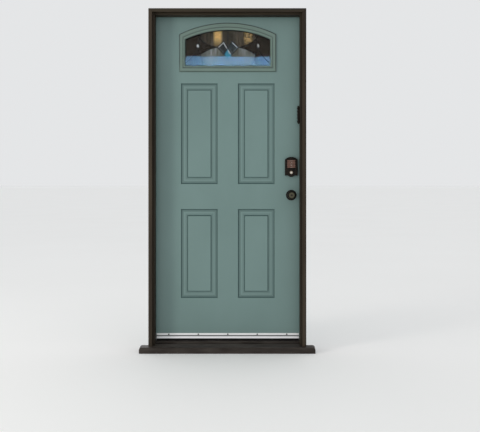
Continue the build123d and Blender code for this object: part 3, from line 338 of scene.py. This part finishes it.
def door_paint(name):
    """Satin sage paint with painted shade in the panels' grooves, on both sides of the bead in
    them.
    """
    paint = finish(name, roughness=0.38, coat=0.05)
    tree = paint.node_tree
    colour = mottle(paint, GREEN_SHADE, GREEN, scale=3, stretch=(1, 1, 0.6), spread=(0.35, 0.65))
    facing = axes(tree, "Normal")
    slope = ramp(tree, magnitude(tree, facing["Y"]), FLAT, STEEP)
    upward = ramp(tree, facing["Z"], -UPWARD, UPWARD, DOWNWARD_SHADE, 1.0)
    inset = panel_inset(tree, axes(tree, "Object"))
    lines = profile(tree, ramp(tree, inset, 0.0, GROOVE_WIDTH), GROOVE_SHADE_PROFILE)
    # Painted shade: steep slopes darken by how far they face up, and the grooves by their profile.
    groove_shade = combine(tree, "MAXIMUM", combine(tree, "MULTIPLY", slope, upward), lines)
    in_groove = within(tree, inset, GROOVE_WIDTH / 2, GROOVE_WIDTH / 2)
    groove_shade = combine(tree, "MULTIPLY", groove_shade, in_groove)
    colour_by(paint, cover(tree, colour, groove_shade, GROOVE_SHADE_GREEN))
    relief(paint, scale=260, depth=0.00004)
    return paint


dress(door_paint("door paint"), "skin_outside", "skin_inside")

# Stiles and rails
# Softwood strips glued round the core between the two skins.
# Their edges show when the door stands open, and are painted with it.
EDGE_GRAIN = (4, 4, 0.2)

edge_paint = finish("edge paint", roughness=0.45)
mottle(edge_paint, GREEN_SHADE, GREEN, scale=12, stretch=EDGE_GRAIN)
relief(edge_paint, scale=60, depth=0.0003, stretch=EDGE_GRAIN)
dress(edge_paint, "hinge_stile", "lock_stile", "top_rail", "bottom_rail")

# Lock block and core
# A softwood block glued to the lock stile, bored for the two locks, and a core of pale closed-cell
# foam that fills the rest of the leaf between its skins.
WOOD_DARK = (0.42, 0.27, 0.14)
WOOD_LIGHT = (0.58, 0.42, 0.25)
FOAM_DARK = (0.72, 0.60, 0.34)
FOAM_LIGHT = (0.82, 0.73, 0.47)

bare_wood = finish("bare softwood", roughness=0.7)
mottle(bare_wood, WOOD_DARK, WOOD_LIGHT, scale=14, stretch=EDGE_GRAIN)
dress(bare_wood, "lock_block")
foam = finish("core foam", roughness=0.9)
mottle(foam, FOAM_DARK, FOAM_LIGHT, scale=120)
relief(foam, scale=500, depth=0.0005)
dress(foam, "foam_core")

# Light frames
# Two frames of moulded plastic, screwed to each other through the leaf with the glass between them.
# They are painted with the door, with painted shade in the sunk line and on the slope down to the
# rim.
LIGHT_GREEN = (0.124, 0.188, 0.162)
LIGHT_PALE = (0.138, 0.204, 0.174)
# Painted shade: the sunk line is darkest near the foot, and the slope to the rim darkest towards
# the crown.
LINE_SHADE = (0.010, 0.016, 0.013)
LIGHT_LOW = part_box("light_frame_outside")[0].z
LIGHT_MIDDLE = (LIGHT_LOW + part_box("light_frame_outside")[1].z) / 2
LIGHT_FOOT = (LIGHT_LOW, LIGHT_LOW + 0.07)
LIGHT_LINE = 0.0026
LINE_HALF = 0.0008
LINE_FLAT = (0.85, 0.95)
LINE_ABOVE_FOOT = 0.55
SLOPE_OUTWARD = (0.02, 0.05)
LIGHT_RIM = 0.0060
RIM_START = LIGHT_RIM - 0.0006
RIM_FULL = LIGHT_RIM - 0.0002
RIM_AT_FOOT = 0.35


def light_paint(name, outer_face, way):
    """The door's paint, with painted shade in the sunk line and on the slope that falls to the rim.
    """
    paint = finish(name, roughness=0.4)
    tree = paint.node_tree
    colour = mottle(paint, LIGHT_GREEN, LIGHT_PALE, scale=6)
    place = axes(tree, "Object")
    facing = axes(tree, "Normal")
    depth = sum_of(tree, place["Y"], way, -way * outer_face)
    level = ramp(tree, magnitude(tree, facing["Y"]), *LINE_FLAT)
    line = combine(
        tree, "MULTIPLY", level, within(tree, depth, LIGHT_LINE, LINE_HALF),
        ramp(tree, place["Z"], *LIGHT_FOOT, 1.0, LINE_ABOVE_FOOT)
    )
    across = combine(tree, "MULTIPLY", facing["X"], place["X"])
    height = sum_of(tree, place["Z"], 1.0, -LIGHT_MIDDLE)
    along = combine(tree, "MULTIPLY", facing["Z"], height)
    outward = ramp(tree, sum_of(tree, across, 1.0, along), *SLOPE_OUTWARD)
    rim = combine(tree, "MAXIMUM", outward, ramp(tree, depth, RIM_START, RIM_FULL))
    rim = combine(tree, "MULTIPLY", rim, ramp(tree, place["Z"], *LIGHT_FOOT, RIM_AT_FOOT, 1.0))
    colour_by(paint, cover(tree, colour, combine(tree, "MAXIMUM", line, rim), LINE_SHADE))
    relief(paint, scale=300, depth=0.00005)
    return paint


outer_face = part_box("light_frame_outside")[0].y
inner_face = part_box("light_frame_inside")[1].y
dress(light_paint("outside light frame paint", outer_face, 1.0), "light_frame_outside")
dress(light_paint("inside light frame paint", inner_face, -1.0), "light_frame_inside")

# Screws of the light frame and of the sweep
# Steel screws with slotted pan heads. The light frame's are zinc-plated and clean indoors,
# the sweep's have gone dark out in the wet.
ZINC_DARK = (0.42, 0.42, 0.40)
ZINC_LIGHT = (0.62, 0.62, 0.60)
WEATHERED_DARK = (0.012, 0.010, 0.009)
WEATHERED_LIGHT = (0.040, 0.034, 0.028)

zinc = finish("zinc plate", roughness=0.3, metal=1.0)
mottle(zinc, ZINC_DARK, ZINC_LIGHT, scale=150)
dress(zinc, "light_screws")
dark_steel = finish("weathered steel", roughness=0.6, metal=0.5)
mottle(dark_steel, WEATHERED_DARK, WEATHERED_LIGHT, scale=220)
dress(dark_steel, "sweep_screws")

# Panes and spacers
# Two panes of float glass, the outer one clear and the inner one a smoke grey that hides what is
# behind it, tinted near black as painted shade of a dark hall behind the door, sealed to dark metal
# spacers that hold the leaded panel between them.
PANE_DARK = (0.95, 0.97, 0.97)
PANE_LIGHT = (0.98, 0.99, 0.99)
SMOKE_HALL_SHADE_DARK = (0.045, 0.038, 0.030)
SMOKE_HALL_SHADE_LIGHT = (0.068, 0.058, 0.047)
SPACER_DARK = (0.02, 0.02, 0.02)
SPACER_LIGHT = (0.05, 0.048, 0.045)


def glass(name, roughness, index, clearness=1.0):
    """Glass of a refractive index and clearness, its colour still to be given."""
    sheet = finish(name, roughness)
    shader = sheet.node_tree.nodes["Principled BSDF"]
    shader.inputs["Transmission Weight"].default_value = clearness
    shader.inputs["IOR"].default_value = index
    return sheet


float_glass = glass("float glass", roughness=0.0, index=1.17)
mottle(float_glass, PANE_DARK, PANE_LIGHT, scale=2)
dress(float_glass, "pane_outside")
# The smoke pane's near-black tint is painted shade of the dark hall behind it.
smoke_hall_shade_glass = glass("smoke glass with hall shade", roughness=0.02, index=1.15)
mottle(smoke_hall_shade_glass, SMOKE_HALL_SHADE_DARK, SMOKE_HALL_SHADE_LIGHT, scale=2)
dress(smoke_hall_shade_glass, "pane_inside")
spacer_paint = finish("spacer paint", roughness=0.5, metal=0.3)
mottle(spacer_paint, SPACER_DARK, SPACER_LIGHT, scale=40)
dress(spacer_paint, "pane_spacers")

# Leaded panel: cames
# Lead cames of an H section that grip the glass on both sides, cut to length and bent to the arcs.
# They are soldered where they meet and blackened with patina.
LEAD_DARK = (0.004, 0.004, 0.005)
LEAD_LIGHT = (0.014, 0.014, 0.015)

lead = finish("blackened lead", roughness=0.5, metal=0.3, shine=0.15)
mottle(lead, LEAD_DARK, LEAD_LIGHT, scale=120)
relief(lead, scale=500, depth=0.0001)
dress(lead, "came_network")

# Leaded panel: solder
# A flattened bead of solder wherever two cames meet, on both faces of the panel.
# It has the cames' patina, mottled a little brighter.
CAME_JOINTS = (
    (0.000, 0.501), (0.000, 0.168), (0.254, 0.530), (0.098, 0.709), (0.095, 0.331),
    (0.667, 0.766), (0.655, 0.317), (0.712, 0.627), (0.712, 0.501),
)
GLASS_HALF_WIDTH = 0.2640
GLASS_HEIGHT = 0.2207
GLASS_LOW = 1.76306
BEAD_RADIUS = 0.0032
BEAD_HEIGHT = 0.0009
SOLDER_DARK = (0.010, 0.010, 0.011)
SOLDER_LIGHT = (0.050, 0.050, 0.052)

beads = bmesh.new()
bead_size = Matrix.Diagonal((BEAD_RADIUS, BEAD_HEIGHT, BEAD_RADIUS, 1))
for face in (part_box("came_network")[0].y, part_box("came_network")[1].y):
    for across, up in CAME_JOINTS:
        for side in (1, -1) if across else (1,):
            joint = (side * across * GLASS_HALF_WIDTH, face, GLASS_LOW + up * GLASS_HEIGHT)
            place = Matrix.Translation(joint) @ bead_size
            bmesh.ops.create_uvsphere(beads, u_segments=14, v_segments=8, radius=1, matrix=place)
for facet in beads.faces:
    facet.smooth = True
beads_mesh = bpy.data.meshes.new("solder_beads")
beads.to_mesh(beads_mesh)
beads.free()
solder_beads = bpy.data.objects.new("solder_beads", beads_mesh)
bpy.context.collection.objects.link(solder_beads)
solder = finish("blackened solder", roughness=0.38, metal=0.7, shine=0.3)
mottle(solder, SOLDER_DARK, SOLDER_LIGHT, scale=300)
beads_mesh.materials.append(solder)
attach(solder_beads, "leaf")

# Leaded panel: cut glass
# Three bevelled diamonds and two small jewels, ground and polished from clear plate. Each cut face
# is painted a tone by its tilt, with painted glints on those that face up, and the lowest diamond
# carries a painted blue reflection of sky.
CUT_DARK = (0.14, 0.16, 0.16)
CUT_FLAT = (0.030, 0.036, 0.036)
CUT_PALE_GLINT = (0.46, 0.48, 0.47)
CUT_BRIGHT_GLINT = (0.95, 0.97, 0.98)
CUT_GLINT_TONES = (
    (0.12, CUT_DARK), (0.42, CUT_FLAT), (0.60, CUT_FLAT), (0.72, CUT_PALE_GLINT), (0.88, CUT_BRIGHT_GLINT),
)
CUT_LEVEL = 0.5
CUT_UP = 1.25
CUT_ASIDE = 0.35
DIAMONDS_HALF_WIDTH = 0.06
DIAMONDS_SHIFT = 0.10
JEWEL_INSIDE = 0.15
JEWEL_LIFT = 0.30
LOW_DIAMOND_SLOPE = 1.49
LOW_DIAMOND_TOP = 1.869
LOW_DIAMOND_REACH = 0.1
LOW_DIAMOND_TILT = 0.78
DIAMOND_SKY_REFLECTION = (0.050, 0.300, 0.430)

cut_glass = glass("cut glass", roughness=0.06, index=1.3, clearness=0.12)
tree = cut_glass.node_tree
place = axes(tree, "Object")
facing = axes(tree, "Normal")
tilt = sum_of(tree, facing["Z"], CUT_UP, CUT_LEVEL + JEWEL_LIFT)
tilt = sum_of(tree, facing["X"], CUT_ASIDE, tilt)
shift = ramp(
    tree, place["X"], -DIAMONDS_HALF_WIDTH, DIAMONDS_HALF_WIDTH, DIAMONDS_SHIFT, -DIAMONDS_SHIFT
)
tilt = sum_of(tree, shift, 1.0, tilt)
tilt = sum_of(tree, within(tree, place["X"], 0.0, JEWEL_INSIDE), -JEWEL_LIFT, tilt)
# Painted glints: cut faces that tilt up are coloured pale to white, the flat faces dark.
colour = graded(tree, tilt, CUT_GLINT_TONES)
# The lowest diamond's face is painted blue, a painted reflection of sky.
lean = sum_of(tree, magnitude(tree, place["X"]), LOW_DIAMOND_SLOPE, place["Z"])
low_diamond = combine(
    tree, "MULTIPLY",
    within(tree, lean, LOW_DIAMOND_TOP - LOW_DIAMOND_REACH, LOW_DIAMOND_REACH),
    within(tree, tilt, 0.0, LOW_DIAMOND_TILT)
)
colour_by(cut_glass, cover(tree, colour, low_diamond, DIAMOND_SKY_REFLECTION))
dress(cut_glass, "bevels_and_jewels")

# Leaded panel: petals and plain glass
# Four petals of seedy glass, with a painted reflection of warm light as a streak in each of the
# upper two, and plain smoky pieces round them, all cut to the cames.
PLAIN_DARK = (0.26, 0.22, 0.18)
PLAIN_LIGHT = (0.42, 0.36, 0.30)
PETAL_SMOKE = (0.042, 0.030, 0.016)
PETAL_TAN = (0.130, 0.100, 0.068)
PETAL_GREY = (0.125, 0.115, 0.085)
PETAL_PALE = (0.380, 0.390, 0.360)
PETAL_MIDDLE = 1.885
PETAL_EDGE = PETAL_MIDDLE + 0.0005
AMBER_LIGHT = (1.0, 0.600, 0.200)
LIGHT_STREAKS = ((-0.063, 1.0, 0.85), (0.126, 0.75, 0.15))
STREAK_HALF = 0.031
STREAK_FULL = 0.5 * STREAK_HALF
STREAK_LOW = 1.885
STREAK_HIGH = 1.940
SPECKLE = (0.44, 0.58)

field_glass = glass("plain field glass", roughness=0.03, index=1.12)
mottle(field_glass, PLAIN_DARK, PLAIN_LIGHT, scale=9)
dress(field_glass, "field_glass")

petal_glass = glass("seedy petal glass", roughness=0.3, index=1.15, clearness=0.15)
tree = petal_glass.node_tree
place = axes(tree, "Object")
lower = mottle(
    petal_glass, PETAL_GREY, PETAL_PALE, scale=22, stretch=(3, 1, 0.35), spread=(0.42, 0.72)
)
upper = mottle(
    petal_glass, PETAL_SMOKE, PETAL_TAN, scale=26, stretch=(3, 1, 0.5), spread=(0.40, 0.80)
)
is_upper = ramp(tree, place["Z"], PETAL_MIDDLE, PETAL_EDGE)
colour = cover(tree, lower, is_upper, upper)
# Painted light: each streak is a warm reflection painted into the upper petals, fading towards
# their foot.
fade = ramp(tree, place["Z"], STREAK_LOW, STREAK_HIGH)
for streak, strength, least in LIGHT_STREAKS:
    away = magnitude(tree, sum_of(tree, place["X"], 1.0, -streak))
    glow = ramp(tree, away, STREAK_HALF, STREAK_FULL, 0.0, strength)
    speckle = ramp(tree, pattern(petal_glass, scale=75), *SPECKLE, least, 1.0)
    colour = cover(tree, colour, combine(tree, "MULTIPLY", glow, is_upper, fade, speckle), AMBER_LIGHT)
colour_by(petal_glass, colour)
relief(petal_glass, scale=160, depth=0.0008)
dress(petal_glass, "petal_glass")

# Door sweep
# An extruded aluminium bar screwed along the foot of the leaf, with a black rubber fin under it.
# A painted highlight lies along its rib, and painted shade in its sunk line and along its foot.
SWEEP_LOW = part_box("sweep_bar")[0].z
SWEEP_FOOT = SWEEP_LOW + 0.0030
SWEEP_FOOT_TOP = SWEEP_FOOT + 0.002
SWEEP_RIB = SWEEP_LOW + 0.0158
SWEEP_RIB_EDGE = 0.0004
SWEEP_LINE = SWEEP_LOW + 0.0189
SWEEP_LINE_HALF = 0.0037
MILL_DARK = (0.86, 0.87, 0.87)
MILL_PALE = (0.96, 0.97, 0.97)
RIB_HIGHLIGHT_METAL = (0.97, 0.98, 1.0)
SWEEP_SHADE_METAL = (0.150, 0.155, 0.160)
FIN_DARK = (0.003, 0.003, 0.004)
FIN_LIGHT = (0.008, 0.008, 0.009)

mill_aluminium = finish("mill aluminium", roughness=0.3, metal=0.15, coat=0.3)
tree = mill_aluminium.node_tree
brushed = mottle(mill_aluminium, MILL_DARK, MILL_PALE, scale=50, stretch=(0.1, 4, 4))
place = axes(tree, "Object")
# Painted highlight on the rib; painted shade in the sunk line and along the foot.
highlight_patch = ramp(tree, place["Z"], SWEEP_RIB + SWEEP_RIB_EDGE, SWEEP_RIB - SWEEP_RIB_EDGE)
foot_shade = ramp(tree, place["Z"], SWEEP_FOOT_TOP, SWEEP_FOOT)
sweep_shade = combine(tree, "MAXIMUM", foot_shade, within(tree, place["Z"], SWEEP_LINE, SWEEP_LINE_HALF))
colour = cover(tree, cover(tree, brushed, highlight_patch, RIB_HIGHLIGHT_METAL), sweep_shade, SWEEP_SHADE_METAL)
colour_by(mill_aluminium, colour)
relief(mill_aluminium, scale=300, depth=0.00005, stretch=(0.05, 4, 4))
dress(mill_aluminium, "sweep_bar")
fin_rubber = finish("fin rubber", roughness=0.8, shine=0.1)
mottle(fin_rubber, FIN_DARK, FIN_LIGHT, scale=80)
dress(fin_rubber, "sweep_fin")

# Knob set
# Turned brass roses and knobs in the dark bronze finish, screwed together through the leaf. Hands
# have rubbed the knobs' faces, and a painted highlight there adds to it. The outside one has a key
# plug, the inside one a turn button.
WORN_HIGHLIGHT_BRONZE = (0.088, 0.083, 0.053)
WORN_HIGHLIGHT_FULL = 0.014
WORN_HIGHLIGHT_REACH = 0.020
WORN_HIGHLIGHT_NOISE = (0.25, 0.6)
WORN_HIGHLIGHT_LEAST = 0.6
PLUG_DARK = (0.016, 0.013, 0.010)
PLUG_LIGHT = (0.040, 0.034, 0.027)


def knob_finish(name, knob, face):
    """Dark bronze that is rubbed, and painted lighter as a highlight, towards the middle of the
    knob's flat face.
    """
    turned = finish(name, roughness=0.42, metal=0.12, shine=0.14)
    tree = turned.node_tree
    colour = mottle(turned, BRONZE_DARK, BRONZE_LIGHT, scale=55, spread=BRONZE_SPREAD)
    low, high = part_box(knob)
    place = tree.nodes.new("ShaderNodeTexCoord")
    away = tree.nodes.new("ShaderNodeVectorMath")
    away.operation = "DISTANCE"
    away.inputs[1].default_value = ((low.x + high.x) / 2, face, (low.z + high.z) / 2)
    tree.links.new(place.outputs["Object"], away.inputs[0])
    # Wear and a painted highlight together: lighter towards the middle of the face.
    near = ramp(tree, away.outputs["Value"], WORN_HIGHLIGHT_REACH, WORN_HIGHLIGHT_FULL)
    worn = ramp(tree, pattern(turned, scale=150), *WORN_HIGHLIGHT_NOISE, WORN_HIGHLIGHT_LEAST, 1.0)
    highlight_patch = combine(tree, "MULTIPLY", near, worn)
    colour_by(turned, cover(tree, colour, highlight_patch, WORN_HIGHLIGHT_BRONZE))
    relief(turned, scale=700, depth=CAST_DEPTH)
    return turned


outer_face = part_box("knob_outside")[0].y
inner_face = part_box("knob_inside")[1].y
dress(bronze, "rose_outside", "rose_inside", "turn_button")
dress(knob_finish("outside knob bronze", "knob_outside", outer_face), "knob_outside")
dress(knob_finish("inside knob bronze", "knob_inside", inner_face), "knob_inside")
plug_bronze = finish("plug bronze", roughness=0.4, metal=0.2, shine=0.2)
mottle(plug_bronze, PLUG_DARK, PLUG_LIGHT, scale=200)
dress(plug_bronze, "knob_key_plug")

# Keypad housing and inside housing
# Die-cast housings in the same finish, bolted to each other through the deadbolt's bore.
# The inside one carries the thumbturn.
dress(bronze, "keypad_housing", "inside_housing", "thumbturn")

# Push buttons
# Keys moulded in a warm brown plastic, one above another in the keypad housing, with two numbers
# on each. The numbers are raised a little and painted pale.
KEY_DARK = (0.130, 0.066, 0.048)
KEY_LIGHT = (0.190, 0.104, 0.080)
NUMBER_DARK = (0.55, 0.52, 0.48)
NUMBER_LIGHT = (0.66, 0.63, 0.58)
NUMBERS_FROM_THE_FOOT = ("9  0", "7  8", "5  6", "3  4", "1  2")
NUMBER_SIZE = 0.0062
NUMBER_STAND = 0.00015

key_plastic = finish("key plastic", roughness=0.45, shine=0.3)
mottle(key_plastic, KEY_DARK, KEY_LIGHT, scale=90)
relief(key_plastic, scale=900, depth=0.00004)
number_white = finish("number paint", roughness=0.5)
mottle(number_white, NUMBER_DARK, NUMBER_LIGHT, scale=300)
upright = Matrix.Rotation(math.radians(90), 4, "X")
for index, numbers in enumerate(NUMBERS_FROM_THE_FOOT, start=1):
    button = f"keypad_button_{index}"
    dress(key_plastic, button)
    low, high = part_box(button)
    outline = bpy.data.curves.new(f"numbers_{index}_outline", "FONT")
    outline.body = numbers
    outline.size = NUMBER_SIZE
    outline.align_x = "CENTER"
    outline.align_y = "CENTER"
    outline.extrude = NUMBER_STAND
    outline.resolution_u = 3
    drawn = bpy.data.objects.new(f"numbers_{index}_drawn", outline)
    bpy.context.collection.objects.link(drawn)
    bpy.context.view_layer.update()
    evaluated = drawn.evaluated_get(bpy.context.evaluated_depsgraph_get())
    mesh = bpy.data.meshes.new_from_object(evaluated)
    bpy.data.objects.remove(drawn)
    raised = bpy.data.objects.new(f"numbers_{index}", mesh)
    bpy.context.collection.objects.link(raised)
    middle = ((low.x + high.x) / 2, low.y, (low.z + high.z) / 2)
    raised.matrix_world = Matrix.Translation(middle) @ upright
    mesh.materials.clear()
    mesh.materials.append(number_white)
    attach(raised, button)

# Cylinder and bolts
# The key cylinder's collar is a ring of brass that has gone brown. Its plug, the spring latch and
# the deadbolt are turned or cast brass, plated with bright nickel.
BRASS_DARK = (0.36, 0.29, 0.21)
BRASS_LIGHT = (0.50, 0.42, 0.32)
NICKEL_DARK = (0.66, 0.61, 0.54)
NICKEL_LIGHT = (0.82, 0.77, 0.70)

collar_brass = finish("aged brass", roughness=0.3, metal=0.9)
mottle(collar_brass, BRASS_DARK, BRASS_LIGHT, scale=120)
dress(collar_brass, "cylinder_collar")
nickel = finish("bright nickel", roughness=0.18, metal=1.0)
mottle(nickel, NICKEL_DARK, NICKEL_LIGHT, scale=120)
dress(nickel, "deadbolt_key_plug", "latch_bolt", "deadbolt")

# Cases in the leaf
# Steel tubes that hold the latch and the deadbolt in the edge of the leaf, and the chassis
# between the knobs, all zinc-plated.
dress(zinc, "latch_case", "deadbolt_case", "lock_chassis")

# Floor, light and camera
# A plain pale floor and three soft lamps: one from the left, a blue one that only the outer pane
# shows, and one from behind for the inside face. The camera is level, about a metre up.
FLOOR_REACH = 300
FLOOR_DARK = (0.96, 0.96, 0.95)
FLOOR_LIGHT = (0.98, 0.98, 0.97)
ROOM_GREY = (0.78, 0.79, 0.80, 1)

floor_mesh = bpy.data.meshes.new("floor")
corners = bmesh.new()
bmesh.ops.create_grid(corners, x_segments=1, y_segments=1, size=FLOOR_REACH)
corners.to_mesh(floor_mesh)
corners.free()
floor = bpy.data.objects.new("floor", floor_mesh)
bpy.context.collection.objects.link(floor)
floor_paint = finish("floor paint", roughness=0.8)
mottle(floor_paint, FLOOR_DARK, FLOOR_LIGHT, scale=0.5)
floor_mesh.materials.append(floor_paint)
floor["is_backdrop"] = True


def lamp(name, place, aim, size, power, colour=(1, 1, 1)):
    """A soft rectangular lamp of a width and height that faces a point."""
    light = bpy.data.lights.new(name, "AREA")
    light.shape = "RECTANGLE"
    light.size, light.size_y = size
    light.energy = power
    light.color = colour
    holder = bpy.data.objects.new(name, light)
    bpy.context.collection.objects.link(holder)
    holder.location = place
    holder.rotation_euler = (Vector(aim) - Vector(place)).to_track_quat("-Z", "Y").to_euler()
    holder.visible_camera = False
    holder.visible_transmission = False
    holder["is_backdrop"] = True
    return holder


def light_only(holder, name, lit):
    """Keeps a lamp's light to some pieces."""
    group = bpy.data.collections.new(name)
    for piece in lit:
        group.objects.link(piece)
    holder.light_linking.receiver_collection = group


lamp(
    "key lamp", place=(-6.0, -4.4, 1.8), aim=(0.1, 0, 0.8), size=(1.6, 2.0), power=170,
    colour=(1.0, 0.95, 0.88)
)
blue_lamp = lamp(
    "blue lamp", place=(-0.14, -4.4, 2.53), aim=(0, 0, 1.8), size=(1.5, 0.17), power=45,
    colour=(0.26, 0.58, 1.0)
)
blue_lamp.visible_diffuse = False
light_only(blue_lamp, "outer pane", [nodes["pane_outside"]])
back_lamp = lamp(
    "back lamp", place=(-1.5, 4.2, 3.0), aim=(0, 0, 1.0), size=(2.5, 2.5), power=45
)
light_only(back_lamp, "door and frame", nodes.values())

world = bpy.data.worlds.new("studio")
bpy.context.scene.world = world
world.use_nodes = True
world.node_tree.nodes["Background"].inputs["Color"].default_value = ROOM_GREY

camera = bpy.data.cameras.new("camera")
camera.lens = 52.9
camera.sensor_width = 36.0
camera.shift_x = -0.0208
camera.shift_y = -0.0667
viewer = bpy.data.objects.new("camera", camera)
bpy.context.collection.objects.link(viewer)
viewer.location = (0.138, -4.385, 1.027)
viewer.rotation_euler = (math.radians(90), 0, 0)
bpy.context.scene.camera = viewer
bpy.context.scene.view_settings.view_transform = "Standard"

low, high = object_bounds()
